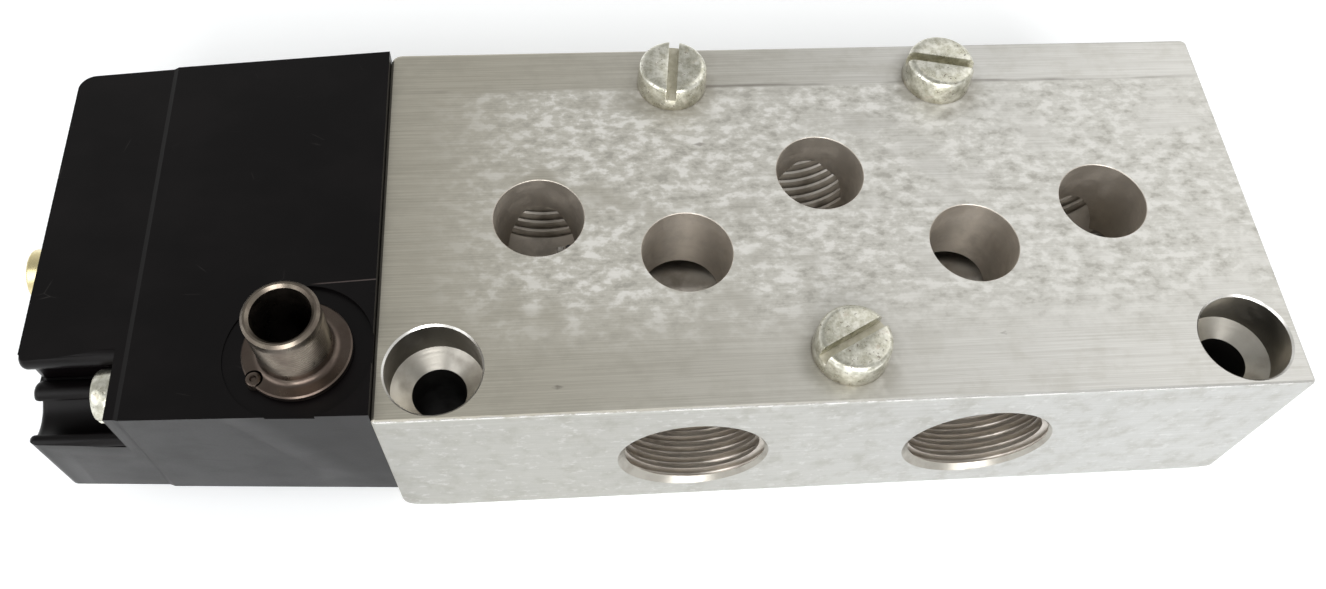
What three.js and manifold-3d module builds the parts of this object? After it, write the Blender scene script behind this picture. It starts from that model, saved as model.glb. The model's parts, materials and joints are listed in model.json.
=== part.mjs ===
// A small 5/2 solenoid-piloted spool valve: a drilled metal block with a black moulded pilot head.
// Millimetres, +Z up, +X along the block away from the pilot head.
// The origin is the centre of the block's bottom face.
import * as THREE from "three";
import { mergeVertices } from "three/addons/utils/BufferGeometryUtils.js";
import Module from "manifold-3d";

const wasm = await Module();
wasm.setup();

// ---------------------------------------------------------------- driving dimensions

const BLOCK = { length: 98, width: 47.4, height: 24.2 };
const LEFT = -BLOCK.length / 2;
const RIGHT = BLOCK.length / 2;
const FRONT = -BLOCK.width / 2;
const REAR = BLOCK.width / 2;
const EDGE = { frontCorner: 0.5, rearCorner: 1.3, leftFoot: 2, rightFoot: 0.8, topEnd: 0.45, topFront: 0.3 };

// Five ports on a 16 mm pitch. Each has a threaded side port and a plain hole in the top face.
const PITCH = 16;
// A port's bore is full width as far in as boreEnd, measured from the middle of the block.
const PORTS = [
  { x: -2 * PITCH, holeY: 0, side: 1, boreEnd: 4.8 },
  { x: -PITCH, holeY: -5, side: -1, boreEnd: 8.3 },
  { x: 0, holeY: 5, side: 1, boreEnd: 8.3 },
  { x: PITCH, holeY: -5, side: -1, boreEnd: 8.3 },
  { x: 2 * PITCH, holeY: 0, side: 1, boreEnd: 5.65 },
];
const TOP_HOLE = { radius: 5, floor: 9.2 };
const SIDE_PORT = { z: 11.5, major: 8.33, minor: 7.475, drillPoint: 4.5 };

// Two counterbored holes for M5 cap screws.
const FIXING = { x: 43, y: -18, bore: 5, hole: 2.9, seatTop: 19.5, seatEnd: 18.2, rim: 0.4 };

// Three M5 cheese-head screws stand on the top face.
const TOP_SCREWS = [
  { name: "top_screw_rear_left", x: -16, y: 18.4, slotDeg: 83 },
  { name: "top_screw_rear_right", x: 16, y: 18.4, slotDeg: -12 },
  { name: "top_screw_front", x: 0, y: -17.8, slotDeg: 28 },
];
const M5 = {
  headBase: 4.1,
  headTop: 3.95,
  headHeight: 3.3,
  shank: 2.4,
  tapped: 2.5,
  reach: 10,
  slot: 1.1,
  slotDepth: 1.5,
};

// The spool runs in a blind bore along X and travels to the right, against its spring.
const SPOOL = { z: 9.2, bore: 5, boreStart: LEFT + 3.5, left: LEFT + 4, right: 41, land: 4.7, stem: 3.2 };
const SPOOL_SEALS = [-28.8, -8, 3.2, 24];
const END_SEALS = [-43, 38.5];
const SPRING_POCKET = { start: 29, radius: 3, shell: 4.2 };
const PLUG = { start: 46.2, end: 48.8, radius: 6.45, bore: 6.5 };

// The pilot head. Distances along it are measured to the left of the block's end face.
const HEAD = {
  length: 35.5,
  baseHalfWidth: 23.3,
  tipHalfWidth: 21.7,
  baseBottom: 5.2,
  tipBottom: 6.9,
  baseTop: 25.3,
  tipTop: 23.7,
  cavity: { depth: 23, halfWidth: 20.6, bottom: 7.8, top: 22.8 },
  nose: { depth: 33, halfWidth: 12, bottom: 8.4, top: 22.3 },
};
const SOLENOID_Z = 15.4;
const STROKE_GAP = 1.4;

// The recess at the front left corner, with a guide rib and a screw at its end wall.
const NOTCH = { wall: 25.8, innerY: -14.4, ribY: -16, ribZ: 18.1, ribRadius: 1.35, lipY: -21.3, lipZ: 18 };
const M3 = { head: 2.75, headHeight: 2, shank: 1.45, reach: 12, slot: 0.8, slotDepth: 0.85 };
const FRONT_SCREW = { y: -18.1, z: 21.2 };
const REAR_SCREW = { y: 16.8, z: 11.6 };
const REAR_POCKET = 3.3;

// The cable nipple stands in a spot-faced seat.
const NIPPLE = {
  x: LEFT - 7.4,
  y: -15.8,
  seat: 24.6,
  seatRadius: 7.6,
  tube: 3.75,
  bore: 3,
  top: 33,
  flange: 5.5,
};
const LOCK_SCREW = { x: LEFT - 11.35, y: -19, head: 0.85, pocket: 0.95 };

// The pilot base carries the pilot ball valve and is bolted to the block by two M4 screws.
const BASE = { near: 0.5, far: 8.5, halfWidth: 19, bottom: 8.2, top: 21.8, cornerY: -12, cornerZ: 16.8 };
const BASE_SCREW = { y: 12.4, z: 12, head: 3.5, shank: 1.9, seat: 4.3, reach: 6.5 };
const PASSAGE = { z: 13.2, radius: 1.2 };
const CHAMBER = { radius: 2.4, floor: 1.7 };
const BALL = { distance: 5.93, radius: 1.3 };

const FINE = 24;
const COARSE = 16;

// ---------------------------------------------------------------- materials

const FINISH = {
  block: { color: 0xb9b6aa, roughness: 0.42, metalness: 1 },
  zinc: { color: 0xc9c6ad, roughness: 0.35, metalness: 1 },
  steel: { color: 0xa7a9ab, roughness: 0.35, metalness: 1 },
  darkSteel: { color: 0x6f6a64, roughness: 0.45, metalness: 1 },
  nickel: { color: 0x8d8172, roughness: 0.3, metalness: 1 },
  brass: { color: 0xc9b569, roughness: 0.3, metalness: 1 },
  blackPlastic: { color: 0x1f1d1e, roughness: 0.5, metalness: 0 },
  whitePlastic: { color: 0xd8d3c2, roughness: 0.5, metalness: 0 },
  aluminium: { color: 0xb4b6b8, roughness: 0.45, metalness: 1 },
  copper: { color: 0xa8552a, roughness: 0.4, metalness: 1 },
  rubber: { color: 0x1a1a1a, roughness: 0.8, metalness: 0 },
  gasket: { color: 0x3b4a3f, roughness: 0.8, metalness: 0 },
};

function piece(name, geometry, finish) {
  const mesh = new THREE.Mesh(geometry, new THREE.MeshStandardMaterial(FINISH[finish]));
  mesh.name = name;
  return mesh;
}

// ---------------------------------------------------------------- solids and booleans

function toSolid(geometry) {
  const bare = geometry.index ? geometry.toNonIndexed() : geometry.clone();
  bare.deleteAttribute("normal");
  bare.deleteAttribute("uv");
  const merged = mergeVertices(bare, 1e-4);
  const vertProperties = merged.attributes.position.array;
  const triVerts = new Uint32Array(merged.index.array);
  return new wasm.Manifold(new wasm.Mesh({ numProp: 3, vertProperties, triVerts }));
}

function toGeometry(solid) {
  const mesh = solid.getMesh();
  const geometry = new THREE.BufferGeometry();
  geometry.setAttribute("position", new THREE.BufferAttribute(mesh.vertProperties, 3));
  geometry.setIndex(new THREE.BufferAttribute(mesh.triVerts, 1));
  geometry.computeVertexNormals();
  return geometry;
}

function cut(geometry, tools) {
  const left = tools.reduce((solid, tool) => solid.subtract(toSolid(tool)), toSolid(geometry));
  return toGeometry(left);
}

function join(geometries) {
  const [first, ...others] = geometries.map(toSolid);
  return toGeometry(others.reduce((solid, other) => solid.add(other), first));
}

function common(geometries) {
  const [first, ...others] = geometries.map(toSolid);
  return toGeometry(others.reduce((solid, other) => solid.intersect(other), first));
}

// ---------------------------------------------------------------- plain shapes

function box(x0, x1, y0, y1, z0, z1) {
  const geometry = new THREE.BoxGeometry(x1 - x0, y1 - y0, z1 - z0);
  return geometry.translate((x0 + x1) / 2, (y0 + y1) / 2, (z0 + z1) / 2);
}

// Profiles are [position along the axis, radius] pairs that run forwards along the outside.
function turnedX(profile, y, z, segments = COARSE) {
  const points = profile.map(([along, radius]) => new THREE.Vector2(radius, along));
  const geometry = new THREE.LatheGeometry(points, segments);
  return geometry.rotateZ(-Math.PI / 2).translate(0, y, z);
}

function turnedZ(profile, x, y, segments = COARSE) {
  const points = profile.map(([along, radius]) => new THREE.Vector2(radius, along));
  const geometry = new THREE.LatheGeometry(points, segments);
  return geometry.rotateX(Math.PI / 2).translate(x, y, 0);
}

function rodX(x0, x1, y, z, radius, segments = COARSE) {
  return turnedX([[x0, 0], [x0, radius], [x1, radius], [x1, 0]], y, z, segments);
}

function rodZ(z0, z1, x, y, radius, segments = COARSE) {
  return turnedZ([[z0, 0], [z0, radius], [z1, radius], [z1, 0]], x, y, segments);
}

function tubeX(x0, x1, y, z, outer, inner, segments = COARSE) {
  const profile = [[x0, inner], [x0, outer], [x1, outer], [x1, inner], [x0, inner]];
  return turnedX(profile, y, z, segments);
}

function tubeZ(z0, z1, x, y, outer, inner, segments = COARSE) {
  const profile = [[z0, inner], [z0, outer], [z1, outer], [z1, inner], [z0, inner]];
  return turnedZ(profile, x, y, segments);
}

// The section of an O-ring as a closed profile around (along, radius).
function ringProfile(along, radius, thickness) {
  const sides = 6;
  const turns = Array.from({ length: sides + 1 }, (_, i) => (i % sides) / sides);
  return turns.map((t) => [
    along + thickness * Math.sin(2 * Math.PI * t),
    radius + thickness * Math.cos(2 * Math.PI * t),
  ]);
}

function oRingX(x, y, z, radius, thickness) {
  return turnedX(ringProfile(x, radius, thickness), y, z, 16);
}

// An outline with one corner radius for each corner, in the order of its points.
function roundedOutline(corners) {
  const shape = new THREE.Shape();
  const count = corners.length;
  corners.forEach(([x, y, radius], i) => {
    const here = new THREE.Vector2(x, y);
    const before = new THREE.Vector2(...corners[(i + count - 1) % count]).sub(here).normalize();
    const after = new THREE.Vector2(...corners[(i + 1) % count]).sub(here).normalize();
    const enter = here.clone().addScaledVector(before, radius);
    const leave = here.clone().addScaledVector(after, radius);
    if (i === 0) {
      shape.moveTo(enter.x, enter.y);
    } else {
      shape.lineTo(enter.x, enter.y);
    }
    if (radius > 0) {
      shape.quadraticCurveTo(x, y, leave.x, leave.y);
    }
  });
  shape.closePath();
  return shape;
}

// Extrusions of an outline drawn in the (x, y), (x, z) or (y, z) plane.
function extrudeZ(shape, z0, z1) {
  const settings = { depth: z1 - z0, bevelEnabled: false, curveSegments: 5 };
  const geometry = new THREE.ExtrudeGeometry(shape, settings);
  return geometry.translate(0, 0, z0);
}

function extrudeY(shape, y0, y1) {
  const settings = { depth: y1 - y0, bevelEnabled: false, curveSegments: 5 };
  const geometry = new THREE.ExtrudeGeometry(shape, settings);
  return geometry.rotateX(Math.PI / 2).translate(0, y1, 0);
}

function extrudeX(shape, x0, x1) {
  const settings = { depth: x1 - x0, bevelEnabled: false, curveSegments: 8 };
  const geometry = new THREE.ExtrudeGeometry(shape, settings);
  return geometry.rotateY(Math.PI / 2).rotateX(Math.PI / 2).translate(x0, 0, 0);
}

class Helix extends THREE.Curve {
  constructor(start, end, radius, turns) {
    super();
    Object.assign(this, { start, end, radius, turns });
  }

  getPoint(t, target = new THREE.Vector3()) {
    const angle = 2 * Math.PI * this.turns * t;
    const along = THREE.MathUtils.lerp(this.start, this.end, t);
    return target.set(along, this.radius * Math.cos(angle), this.radius * Math.sin(angle));
  }
}

function coilSpring(start, end, y, z, radius, wire, turns) {
  const section = new THREE.Shape().absarc(0, 0, wire, 0, 2 * Math.PI, false);
  const extrudePath = new Helix(start, end, radius, turns);
  const steps = Math.round(turns * 8);
  const geometry = new THREE.ExtrudeGeometry(section, { extrudePath, steps, curveSegments: 2 });
  return geometry.translate(0, y, z);
}

// ---------------------------------------------------------------- valve block

function blockBody() {
  const { frontCorner, rearCorner, leftFoot, rightFoot, topEnd, topFront } = EDGE;
  const plan = roundedOutline([
    [LEFT, FRONT, frontCorner],
    [RIGHT, FRONT, frontCorner],
    [RIGHT, REAR, rearCorner],
    [LEFT, REAR, rearCorner],
  ]);
  const elevation = roundedOutline([
    [LEFT, 0, leftFoot],
    [RIGHT, 0, rightFoot],
    [RIGHT, BLOCK.height - topEnd, 0],
    [RIGHT - topEnd, BLOCK.height, 0],
    [LEFT + topEnd, BLOCK.height, 0],
    [LEFT, BLOCK.height - topEnd, 0],
  ]);
  const section = roundedOutline([
    [FRONT, 0, 0],
    [REAR, 0, 0],
    [REAR, BLOCK.height, 0],
    [FRONT + topFront, BLOCK.height, 0],
    [FRONT, BLOCK.height - topFront, 0],
  ]);
  return common([
    extrudeZ(plan, 0, BLOCK.height),
    extrudeY(elevation, FRONT, REAR),
    extrudeX(section, LEFT, RIGHT),
  ]);
}

// A tapped port with a chamfered mouth and the cone that its drill leaves.
function sidePortTool({ x, side, boreEnd }) {
  const { z, major, minor, drillPoint } = SIDE_PORT;
  const depth = REAR - boreEnd;
  const profile = [
    [-1, 0],
    [-1, major],
    [0, major],
    [major - minor, minor],
    [depth, minor],
    [depth + drillPoint, 0],
  ];
  const geometry = turnedZ(profile, 0, 0, FINE);
  geometry.rotateX(side > 0 ? Math.PI / 2 : -Math.PI / 2);
  return geometry.translate(x, side * REAR, z);
}

function fixingTool(x) {
  const { y, bore, hole, seatTop, seatEnd, rim } = FIXING;
  const top = BLOCK.height;
  const profile = [
    [-1, 0],
    [-1, hole],
    [seatEnd, hole],
    [seatTop, bore],
    [top - rim, bore],
    [top, bore + rim],
    [top + 1, bore + rim],
    [top + 1, 0],
  ];
  return turnedZ(profile, x, y, FINE);
}

function valveBlock() {
  const tools = [
    rodX(SPOOL.boreStart, RIGHT, 0, SPOOL.z, SPOOL.bore, FINE),
    rodX(PLUG.start, RIGHT + 1, 0, SPOOL.z, PLUG.bore, FINE),
    rodX(LEFT - 1, SPOOL.boreStart + 1, 0, PASSAGE.z, PASSAGE.radius, 16),
    fixingTool(-FIXING.x),
    fixingTool(FIXING.x),
  ];
  for (const port of PORTS) {
    tools.push(rodZ(TOP_HOLE.floor, BLOCK.height + 1, port.x, port.holeY, TOP_HOLE.radius, FINE));
    tools.push(sidePortTool(port));
  }
  for (const { x, y } of TOP_SCREWS) {
    tools.push(rodZ(BLOCK.height - M5.reach - 1, BLOCK.height + 1, x, y, M5.tapped, 20));
  }
  for (const y of [-BASE_SCREW.y, BASE_SCREW.y]) {
    tools.push(rodX(LEFT - 1, LEFT + BASE_SCREW.reach + 0.5, y, BASE_SCREW.z, BASE_SCREW.shank + 0.1, 20));
  }
  return piece("valve_block", cut(blockBody(), tools), "block");
}

function topScrew({ name, x, y, slotDeg }) {
  const { headBase, headTop, headHeight, shank, reach, slot, slotDepth } = M5;
  const edge = 0.45;
  const profile = [
    [-reach, 0],
    [-reach, shank - 0.4],
    [-reach + 0.4, shank],
    [0, shank],
    [0, headBase],
    [headHeight - edge, headTop],
    [headHeight, headTop - edge],
    [headHeight, 0],
  ];
  const across = headBase + 1;
  const slotTool = box(-across, across, -slot / 2, slot / 2, headHeight - slotDepth, headHeight + 1);
  const mesh = piece(name, cut(turnedZ(profile, 0, 0, FINE), [slotTool]), "zinc");
  mesh.position.set(x, y, BLOCK.height);
  mesh.rotation.z = THREE.MathUtils.degToRad(slotDeg);
  return mesh;
}

function endPlug() {
  const groove = { near: 47, far: 48, radius: 5.5 };
  const profile = [
    [PLUG.start, 0],
    [PLUG.start, PLUG.radius],
    [groove.near, PLUG.radius],
    [groove.near, groove.radius],
    [groove.far, groove.radius],
    [groove.far, PLUG.radius],
    [PLUG.end - 0.3, PLUG.radius],
    [PLUG.end, PLUG.radius - 0.3],
    [PLUG.end, 0],
  ];
  const slot = box(PLUG.end - 1.1, PLUG.end + 1, -PLUG.bore, PLUG.bore, SPOOL.z - 0.7, SPOOL.z + 0.7);
  return piece("end_plug", cut(turnedX(profile, 0, SPOOL.z, FINE), [slot]), "steel");
}

function endPlugSeal() {
  return piece("end_plug_o_ring", oRingX(47.5, 0, SPOOL.z, 6, 0.4), "rubber");
}

// ---------------------------------------------------------------- spool

// A land is a short raised collar with a groove for its seal ring.
function landProfile(centre, before, after) {
  const half = 1.4;
  const groove = { half: 0.6, radius: 3.85 };
  return [
    [centre - half, before],
    [centre - half, SPOOL.land],
    [centre - groove.half, SPOOL.land],
    [centre - groove.half, groove.radius],
    [centre + groove.half, groove.radius],
    [centre + groove.half, SPOOL.land],
    [centre + half, SPOOL.land],
    [centre + half, after],
  ];
}

function spool() {
  const { start, radius, shell } = SPRING_POCKET;
  const [leftEnd, rightEnd] = END_SEALS;
  const lands = SPOOL_SEALS.map((centre, i) => {
    const after = i === SPOOL_SEALS.length - 1 ? shell : SPOOL.stem;
    return landProfile(centre, SPOOL.stem, after);
  });
  const profile = [
    [SPOOL.left, 0],
    [SPOOL.left, SPOOL.stem],
    ...landProfile(leftEnd, SPOOL.stem, SPOOL.stem),
    ...lands.flat(),
    ...landProfile(rightEnd, shell, shell),
    [SPOOL.right, shell],
    [SPOOL.right, radius],
    [start, radius],
    [start, 0],
  ];
  return piece("spool", turnedX(profile, 0, SPOOL.z, 16), "steel");
}

function spoolSeals() {
  const names = ["end_seal_left", "end_seal_right"];
  const ends = END_SEALS.map((x, i) => piece(names[i], oRingX(x, 0, SPOOL.z, 4.42, 0.5), "rubber"));
  const rings = SPOOL_SEALS.map((x, i) =>
    piece(`spool_seal_${i + 1}`, oRingX(x, 0, SPOOL.z, 4.42, 0.5), "rubber"),
  );
  return [...ends, ...rings];
}

function returnSpring() {
  const wire = 0.35;
  const geometry = coilSpring(SPRING_POCKET.start + 0.5, PLUG.start - 0.5, 0, SPOOL.z, 2.3, wire, 7);
  return piece("return_spring", geometry, "steel");
}

// ---------------------------------------------------------------- pilot head

function headOutline() {
  const { length, baseHalfWidth, tipHalfWidth, baseBottom, tipBottom, baseTop, tipTop } = HEAD;
  const tip = LEFT - length;
  const plan = roundedOutline([
    [LEFT, -baseHalfWidth, 0],
    [LEFT, baseHalfWidth, 0],
    [tip, tipHalfWidth, 1.8],
    [tip, -tipHalfWidth, 1],
  ]);
  const elevation = roundedOutline([
    [LEFT, baseBottom, 0],
    [LEFT, baseTop, 0],
    [tip, tipTop, 0.8],
    [tip, tipBottom, 1],
  ]);
  return common([extrudeZ(plan, 0, BLOCK.height + 5), extrudeY(elevation, -BLOCK.width, BLOCK.width)]);
}

// The recess is open to the top, the front and the left end, above a floor with a rib and a lip.
function notchTool() {
  const { wall, innerY, ribY, ribZ, ribRadius, lipY, lipZ } = NOTCH;
  const above = BLOCK.height + 8;
  const out = -BLOCK.width;
  const groove = { y: -18.5, z: 20.2, radius: 3.6 };
  const shape = new THREE.Shape();
  shape.moveTo(innerY + 0.7, above);
  shape.lineTo(innerY + 0.7, 24.2);
  shape.quadraticCurveTo(innerY, 23.9, innerY, 22.8);
  shape.lineTo(innerY, ribZ);
  shape.lineTo(ribY + ribRadius, ribZ);
  shape.absarc(ribY, ribZ, ribRadius, 0, Math.PI, false);
  shape.absarc(groove.y, groove.z, groove.radius, 1.65 * Math.PI, 1.25 * Math.PI, true);
  shape.lineTo(lipY, lipZ);
  shape.lineTo(out, lipZ);
  shape.lineTo(out, above);
  shape.closePath();
  return extrudeX(shape, LEFT - HEAD.length - 1, LEFT - wall);
}

function pilotHousing() {
  const { cavity, nose } = HEAD;
  const far = LEFT - HEAD.length - 1;
  const seal = { near: 33.6, far: 34.8, radius: 4.05 };
  const tools = [
    box(LEFT - cavity.depth, LEFT + 1, -cavity.halfWidth, cavity.halfWidth, cavity.bottom, cavity.top),
    box(LEFT - nose.depth, LEFT - cavity.depth + 1, -nose.halfWidth, nose.halfWidth, nose.bottom, nose.top),
    notchTool(),
    rodX(far, LEFT - nose.depth + 1, 0, SOLENOID_Z, 3.1, FINE),
    rodX(LEFT - seal.far, LEFT - seal.near, 0, SOLENOID_Z, seal.radius, FINE),
    rodX(LEFT - NOTCH.wall - 1, LEFT - cavity.depth + 1, FRONT_SCREW.y, FRONT_SCREW.z, 1.6, 20),
    rodX(LEFT - NOTCH.wall - M3.headHeight - 0.3, LEFT - NOTCH.wall, FRONT_SCREW.y, FRONT_SCREW.z, 3),
    rodX(far, LEFT - NOTCH.wall, REAR_SCREW.y, REAR_SCREW.z, REAR_POCKET),
    rodX(LEFT - NOTCH.wall - 1, LEFT - cavity.depth + 1, REAR_SCREW.y, REAR_SCREW.z, 1.6, 20),
    rodZ(NIPPLE.seat, NIPPLE.seat + 3, NIPPLE.x, NIPPLE.y, NIPPLE.seatRadius, FINE),
    rodZ(cavity.top - 1, NIPPLE.seat + 1, NIPPLE.x, NIPPLE.y, 3.8, FINE),
    rodZ(23.4, NIPPLE.seat + 1, LOCK_SCREW.x, LOCK_SCREW.y, 0.6, 12),
  ];
  return piece("pilot_housing", cut(headOutline(), tools), "blackPlastic");
}

function housingScrew(name, { y, z }, slotDeg) {
  const { head, headHeight, shank, reach, slot, slotDepth } = M3;
  const profile = [
    [-headHeight, 0],
    [-headHeight, head - 0.35],
    [-headHeight + 0.35, head],
    [0, head],
    [0, shank],
    [reach, shank],
    [reach, 0],
  ];
  const slotTool = box(-headHeight - 1, -headHeight + slotDepth, -4, 4, -slot / 2, slot / 2);
  const mesh = piece(name, cut(turnedX(profile, 0, 0), [slotTool]), "zinc");
  mesh.position.set(LEFT - NOTCH.wall, y, z);
  mesh.rotation.x = THREE.MathUtils.degToRad(slotDeg);
  return mesh;
}

function pilotGasket() {
  const thickness = BASE.near;
  const inset = 0.4;
  const sheet = baseShape(inset);
  const tools = [
    rodX(LEFT - 1, LEFT + 1, 0, PASSAGE.z, PASSAGE.radius + 0.4, 20),
    rodX(LEFT - 1, LEFT + 1, -BASE_SCREW.y, BASE_SCREW.z, BASE_SCREW.shank + 0.3, 20),
    rodX(LEFT - 1, LEFT + 1, BASE_SCREW.y, BASE_SCREW.z, BASE_SCREW.shank + 0.3, 20),
  ];
  return piece("pilot_gasket", cut(extrudeX(sheet, LEFT - thickness, LEFT), tools), "gasket");
}

// The outline of the pilot base: a rectangle with its top front corner cut away for the leads.
function baseShape(inset) {
  const { halfWidth, bottom, top, cornerY, cornerZ } = BASE;
  return roundedOutline([
    [-halfWidth + inset, bottom + inset, 1.5],
    [halfWidth - inset, bottom + inset, 1.5],
    [halfWidth - inset, top - inset, 1.5],
    [cornerY + inset, top - inset, 1],
    [cornerY + inset, cornerZ - inset, 1],
    [-halfWidth + inset, cornerZ - inset, 1],
  ]);
}

function pilotBase() {
  const { near, far } = BASE;
  const tools = [
    rodX(LEFT - far - 1, LEFT - CHAMBER.floor, 0, SOLENOID_Z, CHAMBER.radius),
    rodX(LEFT - CHAMBER.floor - 1, LEFT, 0, PASSAGE.z, PASSAGE.radius, 16),
  ];
  for (const side of [-1, 1]) {
    const y = side * BASE_SCREW.y;
    tools.push(rodX(LEFT - far - 1, LEFT, y, BASE_SCREW.z, BASE_SCREW.shank + 0.2, 20));
    tools.push(rodX(LEFT - far - 1, LEFT - BASE_SCREW.seat, y, BASE_SCREW.z, BASE_SCREW.head + 0.1));
    const slot = [side * YOKE.legInner, side * YOKE.legOuter].sort((a, b) => a - b);
    const [left, right] = [LEFT - far - 1, LEFT - far + 2.1];
    const [bottom, top] = [YOKE.tongue[0] - 0.1, YOKE.tongue[1] + 0.1];
    tools.push(box(left, right, slot[0] - 0.1, slot[1] + 0.1, bottom, top));
  }
  return piece("pilot_base", cut(extrudeX(baseShape(0), LEFT - far, LEFT - near), tools), "aluminium");
}

// Socket-head screws that hold the pilot base to the block.
function baseScrew(name, y) {
  const { z, head, shank, seat, reach } = BASE_SCREW;
  const headEnd = seat + 4;
  const profile = [
    [LEFT - headEnd, 0],
    [LEFT - headEnd, head - 0.3],
    [LEFT - headEnd + 0.3, head],
    [LEFT - seat, head],
    [LEFT - seat, shank],
    [LEFT + reach, shank],
    [LEFT + reach, 0],
  ];
  const socket = rodX(LEFT - headEnd - 1, LEFT - headEnd + 2, y, z, 1.75, 6);
  return piece(name, cut(turnedX(profile, y, z), [socket]), "darkSteel");
}

// ---------------------------------------------------------------- solenoid and pilot valve

const YOKE = { legInner: 8.4, legOuter: 10.2, tongue: [16.4, 20], plate: [27.3, 29.1], lug: [20.6, 22.8] };

function yokeFrame() {
  const { legInner, legOuter, tongue, plate, lug } = YOKE;
  const near = LEFT - BASE.far;
  const parts = [box(LEFT - plate[1], LEFT - plate[0], -legOuter, legOuter, 10, 20.8)];
  for (const side of [-1, 1]) {
    const [y0, y1] = [side * legInner, side * legOuter].sort((a, b) => a - b);
    parts.push(box(LEFT - plate[0] - 0.5, near - 0.4, y0, y1, 10.4, 20.4));
    parts.push(box(near - 1, near + 1.9, y0, y1, tongue[0], tongue[1]));
  }
  parts.push(box(LEFT - lug[1], LEFT - lug[0], -20.2, -legInner - 0.5, 18.6, 22.6));
  parts.push(box(LEFT - lug[1], LEFT - lug[0], legInner + 0.5, 20.2, 10.4, 13.8));
  const tools = [
    rodX(LEFT - plate[1] - 1, LEFT - plate[0] + 1, 0, SOLENOID_Z, 4.15),
    rodX(LEFT - lug[1] - 1, LEFT - lug[0] + 1, FRONT_SCREW.y, FRONT_SCREW.z, 1.55, 20),
    rodX(LEFT - lug[1] - 1, LEFT - lug[0] + 1, REAR_SCREW.y, REAR_SCREW.z, 1.55, 20),
  ];
  return piece("yoke_frame", cut(join(parts), tools), "darkSteel");
}

const BOBBIN = { near: 9.4, far: 26.9, hub: 4.8, bore: 4.15, flange: 6.7, flangeThickness: 1.2 };

function coilBobbin() {
  const { near, far, hub, bore, flange, flangeThickness } = BOBBIN;
  const profile = [
    [LEFT - far, bore],
    [LEFT - far, flange],
    [LEFT - far + flangeThickness, flange],
    [LEFT - far + flangeThickness, hub],
    [LEFT - near - flangeThickness, hub],
    [LEFT - near - flangeThickness, flange],
    [LEFT - near, flange],
    [LEFT - near, bore],
    [LEFT - far, bore],
  ];
  return piece("coil_bobbin", turnedX(profile, 0, SOLENOID_Z), "whitePlastic");
}

function coilWinding() {
  const { near, far, hub, flange, flangeThickness } = BOBBIN;
  const gap = 0.1;
  const start = LEFT - far + flangeThickness + gap;
  const end = LEFT - near - flangeThickness - gap;
  return piece("coil_winding", tubeX(start, end, 0, SOLENOID_Z, flange - 0.3, hub + gap), "copper");
}

// The guide tube is closed at its far end apart from a hole for the button's tip.
function coreTube() {
  const far = LEFT - 29.6;
  const near = LEFT - 8.8;
  const profile = [
    [far, 1.9],
    [far, 4],
    [near, 4],
    [near, 3.6],
    [far + 0.8, 3.6],
    [far + 0.8, 1.9],
    [far, 1.9],
  ];
  return piece("core_tube", turnedX(profile, 0, SOLENOID_Z), "steel");
}

function fixedCore() {
  return piece("fixed_core", tubeX(LEFT - 15.8, LEFT - 8.8, 0, SOLENOID_Z, 3.5, 0.8), "steel");
}

function armature() {
  const start = LEFT - 28.2;
  const end = LEFT - 15.8 - STROKE_GAP;
  const profile = [
    [start, 0],
    [start, 2.9],
    [start + 0.4, 3.3],
    [end - 0.4, 3.3],
    [end, 2.9],
    [end, 0],
  ];
  return piece("armature", turnedX(profile, 0, SOLENOID_Z), "steel");
}

function pushPin() {
  const start = LEFT - 15.8 - STROKE_GAP + 0.05;
  const end = LEFT - BALL.distance - BALL.radius - 0.07;
  return piece("push_pin", rodX(start, end, 0, SOLENOID_Z, 0.55, 12), "steel");
}

function pilotSeat() {
  return piece("pilot_seat", tubeX(LEFT - 8.5, LEFT - 6.9, 0, SOLENOID_Z, 2.35, 0.9), "brass");
}

function pilotBall() {
  const mesh = piece("pilot_ball", new THREE.SphereGeometry(BALL.radius, 16, 8), "steel");
  mesh.position.set(LEFT - BALL.distance, 0, SOLENOID_Z);
  return mesh;
}

function ballSpring() {
  const geometry = coilSpring(LEFT - 4.5, LEFT - 2, 0, SOLENOID_Z, 1.05, 0.15, 3);
  return piece("ball_spring", geometry, "steel");
}

function overrideButton() {
  const profile = [
    [LEFT - 39.6, 0],
    [LEFT - 39.6, 2.7],
    [LEFT - 39.3, 3],
    [LEFT - 32.9, 3],
    [LEFT - 32.9, 4.2],
    [LEFT - 31.8, 4.2],
    [LEFT - 31.8, 1.5],
    [LEFT - 28.3, 1.5],
    [LEFT - 28.3, 0],
  ];
  return piece("override_button", turnedX(profile, 0, SOLENOID_Z, FINE), "brass");
}

function buttonSeal() {
  return piece("button_o_ring", oRingX(LEFT - 34.2, 0, SOLENOID_Z, 3.52, 0.45), "rubber");
}

function buttonSpring() {
  const geometry = coilSpring(LEFT - 31.65, LEFT - 29.75, 0, SOLENOID_Z, 2.6, 0.12, 2.5);
  return piece("button_spring", geometry, "steel");
}

// ---------------------------------------------------------------- cable nipple

function cableNipple() {
  const { x, y, seat, tube, bore, top, flange } = NIPPLE;
  const under = seat + 0.3;
  const flangeTop = under + 0.75;
  const profile = [
    [21.8, bore],
    [21.8, 3.7],
    [under, 3.7],
    [under, flange],
    [flangeTop - 0.2, flange],
    [flangeTop, flange - 0.2],
    [flangeTop, tube + 0.5],
    [flangeTop + 0.6, tube],
    [top - 0.4, tube],
    [top, tube - 0.4],
    [top, bore + 0.25],
    [top - 0.4, bore],
    [21.8, bore],
  ];
  const pocket = rodZ(seat, top, LOCK_SCREW.x, LOCK_SCREW.y, LOCK_SCREW.pocket, 20);
  return piece("cable_nipple", cut(turnedZ(profile, x, y, FINE), [pocket]), "nickel");
}

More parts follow.
